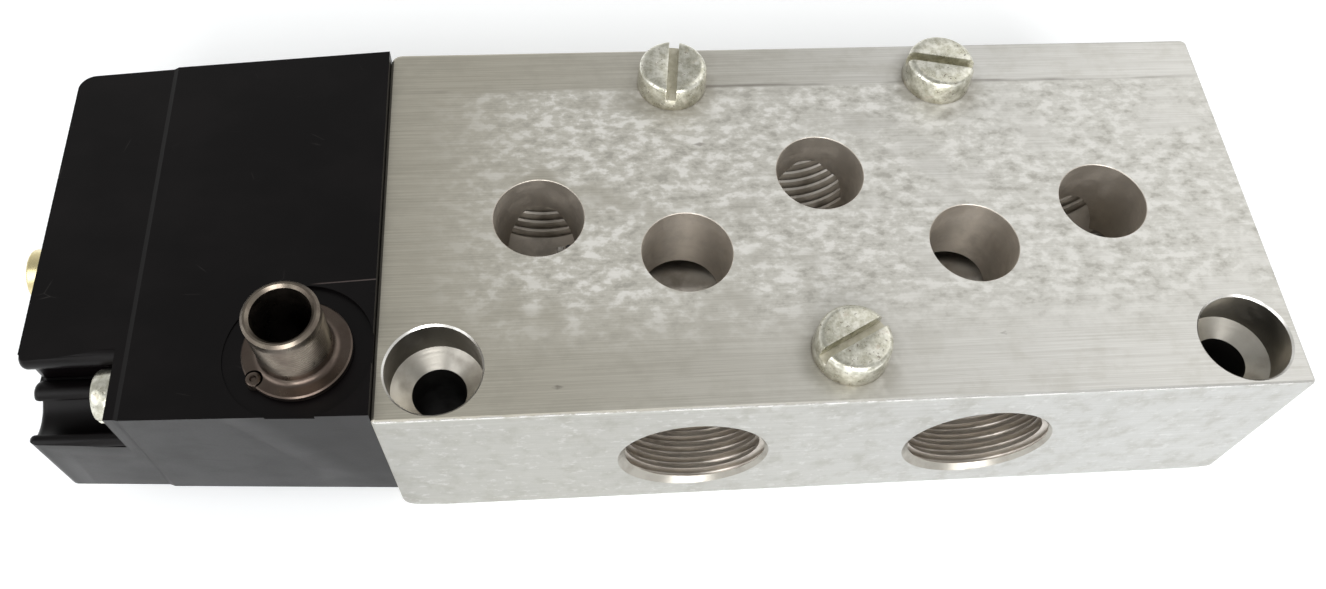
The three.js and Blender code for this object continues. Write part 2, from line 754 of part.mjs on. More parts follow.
function nippleSeal() {
  const { x, y, seat } = NIPPLE;
  return piece("nipple_seal", tubeZ(seat, seat + 0.3, x, y, 4.2, 3.85), "rubber");
}

function nippleRing() {
  const { x, y } = NIPPLE;
  return piece("nipple_retaining_ring", tubeZ(22.1, 22.7, x, y, 4.7, 3.85), "steel");
}

function lockScrew() {
  const { x, y, head } = LOCK_SCREW;
  const profile = [
    [23.5, 0],
    [23.5, 0.5],
    [NIPPLE.seat + 0.1, 0.5],
    [NIPPLE.seat + 0.1, head],
    [NIPPLE.seat + 0.9, head],
    [NIPPLE.seat + 1.15, head - 0.3],
    [NIPPLE.seat + 1.15, 0],
  ];
  return piece("nipple_lock_screw", turnedZ(profile, x, y, 20), "nickel");
}

// ---------------------------------------------------------------- assembly

const part = new THREE.Group();

const body = new THREE.Group();
body.add(valveBlock(), endPlug(), endPlugSeal());
TOP_SCREWS.forEach((screw) => body.add(topScrew(screw)));

const spoolSet = new THREE.Group();
spoolSet.add(spool(), ...spoolSeals(), returnSpring());

const head = new THREE.Group();
head.add(pilotHousing(), pilotGasket(), pilotBase());
head.add(baseScrew("base_screw_front", -BASE_SCREW.y), baseScrew("base_screw_rear", BASE_SCREW.y));
head.add(housingScrew("housing_screw_front", FRONT_SCREW, 8));
head.add(housingScrew("housing_screw_rear", REAR_SCREW, 50));
head.add(cableNipple(), nippleSeal(), nippleRing(), lockScrew());

const solenoid = new THREE.Group();
solenoid.add(yokeFrame(), coilBobbin(), coilWinding(), coreTube(), fixedCore());
solenoid.add(armature(), pushPin(), pilotSeat(), pilotBall(), ballSpring());
solenoid.add(overrideButton(), buttonSeal(), buttonSpring());

part.add(body, spoolSet, head, solenoid);

export default part;
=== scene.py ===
"""A solenoid-piloted spool valve: brushed metal block, black pilot head, worn plated screws."""

import json
import math

import bmesh
import bpy
from mathutils import Matrix, Vector


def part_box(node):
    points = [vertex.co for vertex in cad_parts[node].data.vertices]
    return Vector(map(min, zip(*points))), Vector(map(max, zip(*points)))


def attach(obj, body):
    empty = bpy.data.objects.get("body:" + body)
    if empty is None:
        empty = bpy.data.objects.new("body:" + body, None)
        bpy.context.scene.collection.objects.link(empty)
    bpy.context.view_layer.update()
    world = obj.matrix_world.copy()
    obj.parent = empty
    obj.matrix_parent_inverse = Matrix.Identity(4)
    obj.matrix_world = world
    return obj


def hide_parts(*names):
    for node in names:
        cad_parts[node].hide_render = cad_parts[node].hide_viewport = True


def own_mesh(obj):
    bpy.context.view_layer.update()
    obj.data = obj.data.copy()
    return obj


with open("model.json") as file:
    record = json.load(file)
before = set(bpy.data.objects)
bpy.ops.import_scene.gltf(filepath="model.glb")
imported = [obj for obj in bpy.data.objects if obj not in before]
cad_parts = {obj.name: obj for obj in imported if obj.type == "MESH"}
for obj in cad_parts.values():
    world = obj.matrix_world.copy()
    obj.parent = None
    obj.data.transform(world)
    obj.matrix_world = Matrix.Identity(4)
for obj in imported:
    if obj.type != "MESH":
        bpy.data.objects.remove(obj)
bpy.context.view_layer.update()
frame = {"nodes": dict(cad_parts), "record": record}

MM = 0.001
TAU = 2 * math.pi
ALONG_X = Vector((1, 0, 0))
ALONG_Y = Vector((0, 1, 0))
ALONG_Z = Vector((0, 0, 1))


# ---------------------------------------------------------------- camera and light

CAMERA_PLACE = Vector((-28.907, -70.207, 130.018)) * MM
CAMERA_FORWARD = Vector((0.0756215, 0.490425, -0.868196))
CAMERA_UP = Vector((0.0356, 0.8688, 0.4939))
FOCAL_LENGTH = 31.19
SENSOR_WIDTH = 36
CAMERA_SHIFT = (0.0045, 0.0012)

SKY_OVERHEAD = (0.46, 0.46, 0.45)
SKY_HORIZON = (0.85, 0.85, 0.84)
FLOOR_WHITE = (0.93, 0.94, 0.95, 1)
FLOOR_GLOW = 0.2
# name, place in metres, square side in metres, power in watts, colour
SOFT_LIGHTS = (
    ("key_light", (0.60, 0.35, 0.65), 0.80, 1.7, (1.0, 0.99, 0.97)),
    ("fill_light", (-0.70, -0.35, 0.60), 0.60, 2.5, (0.97, 0.98, 1.0)),
    ("front_light", (0.05, -0.80, 0.50), 0.60, 7, (1.0, 1.0, 1.0)),
)


def add_camera():
    camera = bpy.data.objects.new("camera", bpy.data.cameras.new("camera"))
    back = -CAMERA_FORWARD.normalized()
    right = CAMERA_UP.cross(back).normalized()
    up = back.cross(right)
    rotation = Matrix((right, up, back)).transposed()
    camera.matrix_world = Matrix.Translation(CAMERA_PLACE) @ rotation.to_4x4()
    camera.data.lens = FOCAL_LENGTH
    camera.data.sensor_width = SENSOR_WIDTH
    camera.data.shift_x, camera.data.shift_y = CAMERA_SHIFT
    camera.data.clip_start = 1 * MM
    bpy.context.scene.collection.objects.link(camera)
    bpy.context.scene.camera = camera


def add_lights():
    for name, place, side, power, colour in SOFT_LIGHTS:
        light = bpy.data.lights.new(name, "AREA")
        light.size = side
        light.energy = power
        light.color = colour
        lamp = bpy.data.objects.new(name, light)
        towards = -Vector(place)
        lamp.matrix_world = Matrix.Translation(place) @ towards.to_track_quat("-Z", "Y").to_matrix().to_4x4()
        bpy.context.scene.collection.objects.link(lamp)


def add_sky():
    world = bpy.data.worlds.new("studio")
    world.use_nodes = True
    nodes, links = world.node_tree.nodes, world.node_tree.links
    place = nodes.new("ShaderNodeTexCoord")
    parts = nodes.new("ShaderNodeSeparateXYZ")
    ramp = nodes.new("ShaderNodeValToRGB")
    ramp.color_ramp.elements[0].color = (*SKY_HORIZON, 1)
    ramp.color_ramp.elements[0].position = 0.15
    ramp.color_ramp.elements[1].color = (*SKY_OVERHEAD, 1)
    ramp.color_ramp.elements[1].position = 0.75
    links.new(place.outputs["Generated"], parts.inputs[0])
    links.new(parts.outputs["Z"], ramp.inputs[0])
    links.new(ramp.outputs["Color"], nodes["Background"].inputs["Color"])
    bpy.context.scene.world = world


def add_floor():
    bm = bmesh.new()
    bmesh.ops.create_grid(bm, x_segments=1, y_segments=1, size=3)
    mesh = bpy.data.meshes.new("floor")
    bm.to_mesh(mesh)
    bm.free()
    floor = bpy.data.objects.new("floor", mesh)
    bpy.context.scene.collection.objects.link(floor)
    paint = Paint("white_table")
    paint.set("Base Color", FLOOR_WHITE)
    paint.set("Roughness", 0.9)
    paint.set("Emission Color", FLOOR_WHITE)
    paint.set("Emission Strength", FLOOR_GLOW)
    mesh.materials.append(paint.material)


# ---------------------------------------------------------------- shader maths


class Wire:
    """A number that varies over a surface. Arithmetic on it adds Math nodes."""

    def __init__(self, paint, socket):
        self.paint = paint
        self.socket = socket

    def math(self, operation, *terms):
        inputs = dict(enumerate(terms))
        return self.paint.node("ShaderNodeMath", {"operation": operation}, inputs)

    def __add__(self, other):
        return self.math("ADD", self, other)

    __radd__ = __add__

    def __sub__(self, other):
        return self.math("SUBTRACT", self, other)

    def __rsub__(self, other):
        return self.math("SUBTRACT", other, self)

    def __mul__(self, other):
        return self.math("MULTIPLY", self, other)

    __rmul__ = __mul__

    def size(self):
        return self.math("ABSOLUTE", self)

    def at_least(self, other):
        return self.math("MAXIMUM", self, other)

    def ramp(self, start, end):
        """0 up to start and 1 from end on, with a soft step between them. The two may run backwards."""
        settings = {"interpolation_type": "SMOOTHSTEP"}
        if start < end:
            inputs = {"Value": self, "From Min": start, "From Max": end}
            return self.paint.node("ShaderNodeMapRange", settings, inputs)
        inputs = {"Value": self, "From Min": end, "From Max": start, "To Min": 1.0, "To Max": 0.0}
        return self.paint.node("ShaderNodeMapRange", settings, inputs)


class Paint:
    """One procedural material. Its patterns read Object coordinates, in millimetres."""

    def __init__(self, name):
        self.material = bpy.data.materials.new(name)
        self.material.use_nodes = True
        self.tree = self.material.node_tree
        self.shader = self.tree.nodes["Principled BSDF"]
        self.spot = None

    def feed(self, socket, value):
        if isinstance(value, Wire):
            self.tree.links.new(value.socket, socket)
        else:
            socket.default_value = value

    def node(self, kind, settings, inputs, output=0):
        made = self.tree.nodes.new(kind)
        for key, value in settings.items():
            setattr(made, key, value)
        for key, value in inputs.items():
            self.feed(made.inputs[key], value)
        return Wire(self, made.outputs[output])

    def set(self, socket, value):
        self.feed(self.shader.inputs[socket], value)

    def place(self):
        """The point on the surface, in millimetres."""
        if self.spot is None:
            metres = self.node("ShaderNodeTexCoord", {}, {}, "Object")
            inputs = {"Vector": metres, "Scale": (1 / MM,) * 3}
            self.spot = self.node("ShaderNodeMapping", {"vector_type": "POINT"}, inputs)
        return self.spot

    def axis(self, letter):
        return self.node("ShaderNodeSeparateXYZ", {}, {0: self.place()}, letter)

    def noise(self, size, detail=3.0, rough=0.5, shift=(0, 0, 0)):
        """Noise whose blotches are about size millimetres along each axis."""
        scale = tuple(1 / s for s in size)
        spot = self.node("ShaderNodeMapping", {}, {"Vector": self.place(), "Scale": scale, "Location": shift})
        inputs = {"Vector": spot, "Scale": 1.0, "Detail": detail, "Roughness": rough}
        return self.node("ShaderNodeTexNoise", {}, inputs)

    def cracks(self, size):
        """Distance from the borders of irregular cells, which makes a net of fine lines."""
        scale = tuple(1 / s for s in size)
        spot = self.node("ShaderNodeMapping", {}, {"Vector": self.place(), "Scale": scale})
        settings = {"feature": "DISTANCE_TO_EDGE"}
        return self.node("ShaderNodeTexVoronoi", settings, {"Vector": spot, "Scale": 1.0}, "Distance")

    def distance(self, x, y, z):
        """Distance from a point, in millimetres."""
        inputs = {0: self.place(), 1: (x, y, z)}
        return self.node("ShaderNodeVectorMath", {"operation": "DISTANCE"}, inputs, "Value")

    def facing(self, direction):
        """How squarely the surface faces a direction fixed to the piece, from -1 to 1."""
        normal = self.node("ShaderNodeNewGeometry", {}, {}, "Normal")
        inputs = {0: normal, 1: direction}
        return self.node("ShaderNodeVectorMath", {"operation": "DOT_PRODUCT"}, inputs, "Value")

    def mix(self, factor, first, second):
        inputs = {0: factor, 6: first, 7: second}
        return self.node("ShaderNodeMix", {"data_type": "RGBA"}, inputs, 2)

    def bump(self, height, distance, strength):
        """Relief of a depth in millimetres."""
        inputs = {"Height": height, "Distance": distance * MM, "Strength": strength}
        return self.node("ShaderNodeBump", {}, inputs)


# ---------------------------------------------------------------- shapes


def turned(profile, along, centre, steps=96):
    """A solid turned round an axis from (position along it, radius) pairs, in millimetres.

    A profile starts and ends on the axis, or closes on itself."""
    bm = bmesh.new()
    out = ALONG_X if along.z else ALONG_Z
    closed = profile[0] == profile[-1]
    points = profile[:-1] if closed else profile
    verts = [bm.verts.new(centre + along * position + out * radius) for position, radius in points]
    edges = [bm.edges.new(pair) for pair in zip(verts, verts[1:])]
    if closed:
        edges.append(bm.edges.new((verts[-1], verts[0])))
    bmesh.ops.spin(bm, geom=verts + edges, cent=centre, axis=along, angle=TAU, steps=steps, use_merge=True)
    bmesh.ops.remove_doubles(bm, verts=bm.verts, dist=1e-4)
    bmesh.ops.recalc_face_normals(bm, faces=bm.faces)
    return bm


def rod(start, end, radius, along, centre, steps=64):
    return turned([(start, 0), (start, radius), (end, radius), (end, 0)], along, centre, steps)


def slab(low, high):
    """A plain rectangular solid between two corners."""
    bm = bmesh.new()
    bmesh.ops.create_cube(bm, size=1)
    low, high = Vector(low), Vector(high)
    bmesh.ops.scale(bm, vec=high - low, verts=bm.verts)
    bmesh.ops.translate(bm, vec=(low + high) / 2, verts=bm.verts)
    return bm


def spread(start, end, steps):
    """Evenly spaced angles in radians, from a start to an end in degrees."""
    return [math.radians(start + (end - start) * i / steps) for i in range(steps + 1)]


def arc(centre_across, centre_up, radius, start, end, steps):
    """Points on an arc of an outline or profile. Angles are in degrees, from the first axis to the second."""
    turns = spread(start, end, steps)
    return [(centre_across + radius * math.cos(t), centre_up + radius * math.sin(t)) for t in turns]


def helix(outline, along, centre, pitch, turns, steps_per_turn=48):
    """A closed outline swept round an axis with a steady advance, closed at both ends."""
    bm = bmesh.new()
    face = bm.faces.new([bm.verts.new(point) for point in outline])
    steps = round(turns * steps_per_turn)
    advance = along * (pitch / steps_per_turn)
    geom = [face, *face.edges, *face.verts]
    bmesh.ops.spin(bm, geom=geom, cent=centre, axis=along, dvec=advance, angle=TAU * turns, steps=steps)
    bmesh.ops.remove_doubles(bm, verts=bm.verts, dist=1e-5)
    bmesh.ops.recalc_face_normals(bm, faces=bm.faces)
    return bm


def bevel(bm, edges, width, segments=3):
    bmesh.ops.bevel(
        bm,
        geom=edges,
        offset=width,
        affect="EDGES",
        segments=segments,
        profile=0.5,
        material=-1,
        clamp_overlap=True,
    )


def edges_near(bm, **limits):
    """The edges whose both ends have the given coordinates, such as x=LEFT."""
    return [
        edge
        for edge in bm.edges
        if all(
            abs(getattr(vert.co, axis) - value) < 1e-3
            for vert in edge.verts
            for axis, value in limits.items()
        )
    ]


def soften(bm, width, degrees=35, segments=2):
    """Rounds every edge that is sharper than an angle."""
    sharp = [e for e in bm.edges if e.is_manifold and e.calc_face_angle(0) > math.radians(degrees)]
    bevel(bm, sharp, width, segments)


def loose_object(bm, materials=()):
    mesh = bpy.data.meshes.new("shape")
    bm.to_mesh(mesh)
    bm.free()
    for material in materials:
        mesh.materials.append(material)
    shape = bpy.data.objects.new("shape", mesh)
    bpy.context.scene.collection.objects.link(shape)
    return shape


def carved(bm, tools, materials=(), solver="EXACT"):
    """The solid with every tool cut out of it. Cut faces keep the material of their tool's faces."""
    body = loose_object(bm, materials)
    cutters = [loose_object(tool, materials) for tool in tools]
    for cutter in cutters:
        cut = body.modifiers.new("cut", "BOOLEAN")
        cut.operation = "DIFFERENCE"
        cut.solver = solver
        cut.object = cutter
    depsgraph = bpy.context.evaluated_depsgraph_get()
    mesh = bpy.data.meshes.new_from_object(body.evaluated_get(depsgraph))
    result = bmesh.new()
    result.from_mesh(mesh)
    for shape in (body, *cutters):
        bpy.data.objects.remove(shape)
    return result


def painted(bm, index, where=None):
    """Gives faces a material by its place in the piece's list."""
    for face in bm.faces:
        if where is None or where(face.calc_center_median()):
            face.material_index = index
    return bm


def broad_face_edges(bm, area=4):
    """Indices of the edges round faces larger than an area, in square millimetres, except flush ones."""
    bm.edges.index_update()
    return [
        edge.index
        for edge in bm.edges
        if edge.is_manifold
        and edge.calc_face_angle(0) > math.radians(3)
        and max(face.calc_area() for face in edge.link_faces) > area
    ]


def piece(name, bm, body, materials, nodes=(), sharp=32, crisp=False):
    """A finished piece, in metres, that rides on a body and stands for some CAD nodes.

    On a crisp piece every broad face stays perfectly flat up to its edges."""
    creases = broad_face_edges(bm) if crisp else ()
    bmesh.ops.scale(bm, vec=(MM,) * 3, verts=bm.verts)
    mesh = bpy.data.meshes.new(name)
    bm.to_mesh(mesh)
    bm.free()
    for material in materials:
        mesh.materials.append(material)
    mesh.polygons.foreach_set("use_smooth", [True] * len(mesh.polygons))
    mesh.set_sharp_from_angle(angle=math.radians(sharp))
    for index in creases:
        mesh.edges[index].use_edge_sharp = True
    made = bpy.data.objects.new(name, mesh)
    bpy.context.scene.collection.objects.link(made)
    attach(made, body)
    if nodes:
        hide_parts(*nodes)
    return made


# ---------------------------------------------------------------- places from the CAD


def box_mm(node):
    low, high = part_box(node)
    return low / MM, high / MM


def middle(node):
    low, high = box_mm(node)
    return (low + high) / 2


BLOCK_LOW, BLOCK_HIGH = box_mm("valve_block")
LEFT, FRONT, _ = BLOCK_LOW
RIGHT, REAR, TOP = BLOCK_HIGH
PITCH = 16
# x, y of the top hole, side of the port (1 is the rear), how near the middle its bore is full width
PORTS = (
    (-2 * PITCH, 0, 1, 4.8),
    (-PITCH, -5, -1, 8.3),
    (0, 5, 1, 8.3),
    (PITCH, -5, -1, 8.3),
    (2 * PITCH, 0, 1, 5.65),
)
PORT_Z = 11.5
FIXING_X, FIXING_Y = 43, -18
SPOOL_AXIS = Vector((0, 0, middle("spool").z))
COIL_AXIS = Vector((0, 0, middle("armature").z))
TOP_SCREWS = {"top_screw_rear_left": 83, "top_screw_rear_right": -12, "top_screw_front": 28}
NIPPLE = middle("cable_nipple")
NIPPLE_SEAT = 24.6


# ---------------------------------------------------------------- materials

SCREW_SPOTS = [middle(name) for name in TOP_SCREWS]
# x, y and half width of small dark marks on the top face
DARK_MARKS = ((-30.5, -20.6, 0.34), (-18.2, 11.4, 0.5), (-13.4, 9.4, 0.4), (17, -16.4, 0.3))


def brushed_block():
    """The block's faces: brushed along its length, mottled with pale matt flakes, tarnished to the left, with
    painted shade on the front face and a painted highlight along the front top edge.
    """
    paint = Paint("brushed_block")
    x, y, z = paint.axis("X"), paint.axis("Y"), paint.axis("Z")
    top = paint.facing((0, 0, 1)).ramp(0.5, 0.9)
    front = paint.facing((0, -1, 0)).ramp(0.5, 0.9)
    tarnish = x.ramp(24, -46)

    strokes = paint.noise((16, 0.16, 0.16), detail=2)
    fine_strokes = paint.noise((7, 0.06, 0.06), detail=1, shift=(3, 1, 7))
    streak = strokes * 0.55 + fine_strokes * 0.45

    patches = paint.noise((11, 8, 8), detail=3, rough=0.6, shift=(0.4, 0.2, 0)).ramp(0.30, 0.50)
    flaked = patches * y.ramp(18.2, 17.2) * y.ramp(-19, -9) * x.ramp(-48, -27) * top
    flakes = paint.noise((2.1, 1.35, 1.35), detail=5, rough=0.66)
    pale_flakes = flakes.ramp(0.47, 0.62) * flaked
    dark_flakes = flakes.ramp(0.47, 0.34) * flaked
    stain = paint.noise((4.2, 3.2, 3.2), detail=5, rough=0.66, shift=(9, 4, 2)).ramp(0.44, 0.66)

    # A darker, duller, patchy ring round each top screw head.
    dark_ring_round_screws = None
    for spot in SCREW_SPOTS:
        ring = paint.distance(spot.x, spot.y - 0.7, TOP).ramp(6.6, 4.1)
        dark_ring_round_screws = ring if dark_ring_round_screws is None else dark_ring_round_screws.at_least(ring)
    dark_ring_round_screws = dark_ring_round_screws * paint.noise((3, 3, 3), detail=3).ramp(0.32, 0.56)
    edge_line = (y - 17.9).size().ramp(0.35, 0.05) * top
    edge_line = edge_line * paint.noise((14, 3, 3), detail=2, shift=(5, 0, 0)).ramp(0.45, 0.62)
    marks = front * paint.noise((2.6, 2.4, 3.4), detail=5, rough=0.68, shift=(2, 0, 5)).ramp(0.46, 0.68)
    flecks = front * paint.noise((1.3, 1, 0.9), detail=4, rough=0.7, shift=(6, 2, 1)).ramp(0.56, 0.66)
    for mark_x, mark_y, size in DARK_MARKS:
        near = ((x - mark_x) * 0.35).size() + (y - mark_y).size()
        edge_line = edge_line.at_least(near.ramp(size, size * 0.4) * flakes.ramp(0.4, 0.55) * top)

    bright = paint.mix(tarnish, (0.70, 0.695, 0.67, 1), (0.64, 0.61, 0.525, 1))
    dull = paint.mix(tarnish, (0.585, 0.575, 0.545, 1), (0.50, 0.47, 0.395, 1))
    tone = paint.mix(streak.ramp(0.3, 0.7), dull, bright)
    tone = paint.mix(stain * (1 - flaked) * 0.22, tone, (0.42, 0.40, 0.34, 1))
    tone = paint.mix(flaked * 0.6, tone, (0.55, 0.54, 0.495, 1))
    tone = paint.mix(pale_flakes * 0.65, tone, (0.75, 0.74, 0.71, 1))
    tone = paint.mix(dark_flakes * 0.55, tone, (0.33, 0.315, 0.28, 1))
    tone = paint.mix(dark_ring_round_screws * 0.5, tone, (0.24, 0.22, 0.18, 1))
    tone = paint.mix(edge_line * 0.6, tone, (0.17, 0.15, 0.13, 1))
    # Painted shade: the front face is painted darker and greyer than the top, more so to the left.
    tone = paint.mix(front * (0.42 + tarnish * 0.2), tone, (0.37, 0.38, 0.38, 1))
    tone = paint.mix(marks * 0.36, tone, (0.30, 0.285, 0.24, 1))
    tone = paint.mix(flecks * 0.4, tone, (0.66, 0.66, 0.65, 1))

    # Painted highlight: a broken near-white line along the front top edge stands for small chips, which are
    # not modelled; it is also made less rough.
    chips_and_edge_highlight = z.ramp(TOP - 0.28, TOP - 0.1) * y.ramp(FRONT + 0.3, FRONT + 0.08)
    chips_and_edge_highlight = chips_and_edge_highlight * paint.noise((2.2, 1, 1), detail=4, rough=0.7).ramp(0.42, 0.58)
    tone = paint.mix(chips_and_edge_highlight, tone, (0.95, 0.94, 0.92, 1))

    scratches = paint.cracks((26, 1.9, 1.9)).ramp(0.03, 0.0)
    scratches = scratches * paint.noise((9, 5, 5), detail=1, shift=(1, 8, 3)).ramp(0.55, 0.65)
    paint.set("Base Color", tone)
    paint.set("Metallic", 1 - flaked * 0.3 - pale_flakes * 0.35 - dark_ring_round_screws * 0.2)
    rough = 0.36 + (1 - streak) * 0.14 + flaked * 0.08 + dark_ring_round_screws * 0.12
    paint.set("Roughness", rough - chips_and_edge_highlight * 0.2)
    relief = streak * 0.6 + scratches * -0.6 + flakes * flaked * 0.35
    paint.set("Normal", paint.bump(relief, 0.03, 0.45))
    return paint.material


def turned_metal(name, tone, dark, roughness, axis_y=False):
    """Cut metal with fine tool rings round the Z axis, or round the Y axis."""
    paint = Paint(name)
    ring_size = 0.18
    size = (4, ring_size, 4) if axis_y else (4, 4, ring_size)
    rings = paint.noise(size, detail=2)
    grime = paint.noise((2.5, 2.5, 2.5), detail=4, rough=0.6).ramp(0.4, 0.75)
    paint.set("Base Color", paint.mix(grime * 0.5, tone, dark))
    paint.set("Metallic", 1.0)
    paint.set("Roughness", roughness + rings * 0.1 + grime * 0.15)
    paint.set("Normal", paint.bump(rings, 0.02, 0.4))
    return paint.material


def plated_screw(name, slot_dirt_and_base_shade):
    """Old zinc plating: yellowish silver, pitted. Top screws have olive dirt in the slots and painted shade
    low down, where they meet the block.
    """
    paint = Paint(name)
    blotches = paint.noise((0.9, 0.9, 0.9), detail=4, rough=0.65)
    pits = paint.noise((0.30, 0.30, 0.30), detail=2, shift=(4, 4, 1)).ramp(0.62, 0.70)
    pits = pits * paint.noise((1.7, 1.7, 1.7), detail=1, shift=(7, 2, 0)).ramp(0.42, 0.56)
    tone = paint.mix(blotches.ramp(0.35, 0.7), (0.52, 0.51, 0.42, 1), (0.84, 0.83, 0.75, 1))
    rust = paint.noise((1.3, 1.3, 1.3), detail=4, rough=0.7, shift=(2, 9, 5)).ramp(0.58, 0.72)
    tone = paint.mix(rust * 0.3, tone, (0.42, 0.29, 0.20, 1))
    tone = paint.mix(pits * 0.8, tone, (0.14, 0.11, 0.08, 1))
    rough = 0.22 + blotches * 0.14 + rust * 0.2
    metal = 1 - rust * 0.3 - pits * 0.4
    if slot_dirt_and_base_shade:
        z = paint.axis("Z")
        # Painted shade: darker low down, where the head meets the block.
        low = z.ramp(TOP + 0.9, TOP + 0.1)
        slot_dirt = z.ramp(TOP + 2.6, TOP + 1.9) * paint.facing((0, 0, 1)).ramp(0.6, 0.9)
        tone = paint.mix(slot_dirt * 0.6, tone, (0.46, 0.42, 0.31, 1))
        tone = paint.mix(low * 0.5, tone, (0.30, 0.26, 0.18, 1))
        rough = rough + slot_dirt * 0.25
        metal = metal - slot_dirt * 0.4
    paint.set("Base Color", tone)
    paint.set("Metallic", metal)
    paint.set("Roughness", rough)
    paint.set("Normal", paint.bump(blotches * 0.5 - pits * 1.0, 0.05, 0.7))
    return paint.material


def black_moulding():
    """Satin black plastic with a very fine grain, a few pale scuffs and one long fine scratch."""
    paint = Paint("black_moulding")
    x, y = paint.axis("X"), paint.axis("Y")
    grain = paint.noise((0.22, 0.22, 0.22), detail=2)
    haze = paint.noise((12, 9, 9), detail=3, rough=0.6).ramp(0.4, 0.7)
    scuffs = paint.cracks((9, 4, 4)).ramp(0.006, 0.0)
    scuffs = scuffs * paint.noise((5, 5, 5), detail=1, shift=(3, 1, 2)).ramp(0.62, 0.72)
    scratch = (y + 7.9 - (x + 52) * 0.03).size().ramp(0.1, 0.03) * x.ramp(-56, -54.5)
    scratch = scratch * paint.facing((0, 0, 1)).ramp(0.8, 0.95)
    tone = paint.mix(haze, (0.0014, 0.0009, 0.0011, 1), (0.0024, 0.0016, 0.0018, 1))
    tone = paint.mix(scuffs * 0.4, tone, (0.05, 0.045, 0.043, 1))
    tone = paint.mix(scratch * 0.7, tone, (0.10, 0.08, 0.075, 1))
    paint.set("Base Color", tone)
    paint.set("Roughness", 0.28 + haze * 0.08 + scuffs * 0.2 + grain * 0.06)
    paint.set("IOR", 1.45)
    paint.set("Specular IOR Level", 0.22)
    paint.set("Normal", paint.bump(grain - scuffs * 0.5 - scratch * 0.8, 0.012, 0.35))
    return paint.material


def dull_nickel():
    """Brownish nickel plating, tarnished low down."""
    paint = Paint("dull_nickel")
    low = paint.axis("Z").ramp(27.5, 25.4)
    patina = paint.noise((1.8, 1.8, 1.8), detail=4, rough=0.6).ramp(0.35, 0.7)
    tone = paint.mix(patina * 0.7, (0.22, 0.19, 0.155, 1), (0.12, 0.095, 0.08, 1))
    tone = paint.mix(low * 0.7, tone, (0.075, 0.052, 0.045, 1))
    paint.set("Base Color", tone)
    paint.set("Metallic", 1.0)
    paint.set("Roughness", 0.27 + patina * 0.12)
    paint.set("Normal", paint.bump(paint.noise((0.5, 0.5, 0.5), detail=2), 0.008, 0.3))
    return paint.material


def plain_metal(name, tone, worn, roughness, grain=(0.5, 0.12, 0.12)):
    """Machined metal with a grain along the valve and uneven tarnish."""
    paint = Paint(name)
    lines = paint.noise(grain, detail=2)
    tarnish = paint.noise((2.2, 2.2, 2.2), detail=4, rough=0.6).ramp(0.4, 0.7)
    paint.set("Base Color", paint.mix(tarnish * 0.3, tone, worn))
    paint.set("Metallic", 1.0)
    paint.set("Roughness", roughness + lines * 0.12 + tarnish * 0.08)
    paint.set("Normal", paint.bump(lines, 0.015, 0.4))
    return paint.material


def soft_matter(name, tone, pale, roughness):
    """Rubber, gasket sheet or moulded plastic with a fine matt surface."""
    paint = Paint(name)
    grain = paint.noise((0.4, 0.4, 0.4), detail=3, rough=0.6)
    cloud = paint.noise((4, 4, 4), detail=2).ramp(0.35, 0.7)
    paint.set("Base Color", paint.mix(cloud, tone, pale))
    paint.set("Roughness", roughness + grain * 0.12)
    paint.set("Normal", paint.bump(grain, 0.03, 0.5))
    return paint.material


BLOCK_FACE = brushed_block()
# Painted highlight: a bright copy of the cut metal for the thin lips of the counterbores and for the end
# plug's bore.
LIT_RIM_METAL = turned_metal("painted_rim_highlight", (0.80, 0.79, 0.76, 1), (0.55, 0.52, 0.47, 1), 0.2)
# Painted shade: a darker copy of the cut metal for the counterbore seats and the chamfers of the port mouths.
SHADED_SEAT_METAL = turned_metal("painted_seat_shade", (0.40, 0.38, 0.34, 1), (0.23, 0.21, 0.18, 1), 0.27)
HOLE_WALL = turned_metal("hole_wall", (0.66, 0.61, 0.545, 1), (0.42, 0.38, 0.33, 1), 0.46)
THREAD_METAL = turned_metal("thread_metal", (0.62, 0.58, 0.53, 1), (0.36, 0.32, 0.27, 1), 0.28, axis_y=True)
SCREW_METAL = plated_screw("plated_screw", True)
# Painted shade: a near-black copy of the cut metal for the depths of the fixing holes.
SHADED_DEPTH_METAL = turned_metal("painted_hole_shade", (0.07, 0.065, 0.06, 1), (0.04, 0.036, 0.03, 1), 0.5)
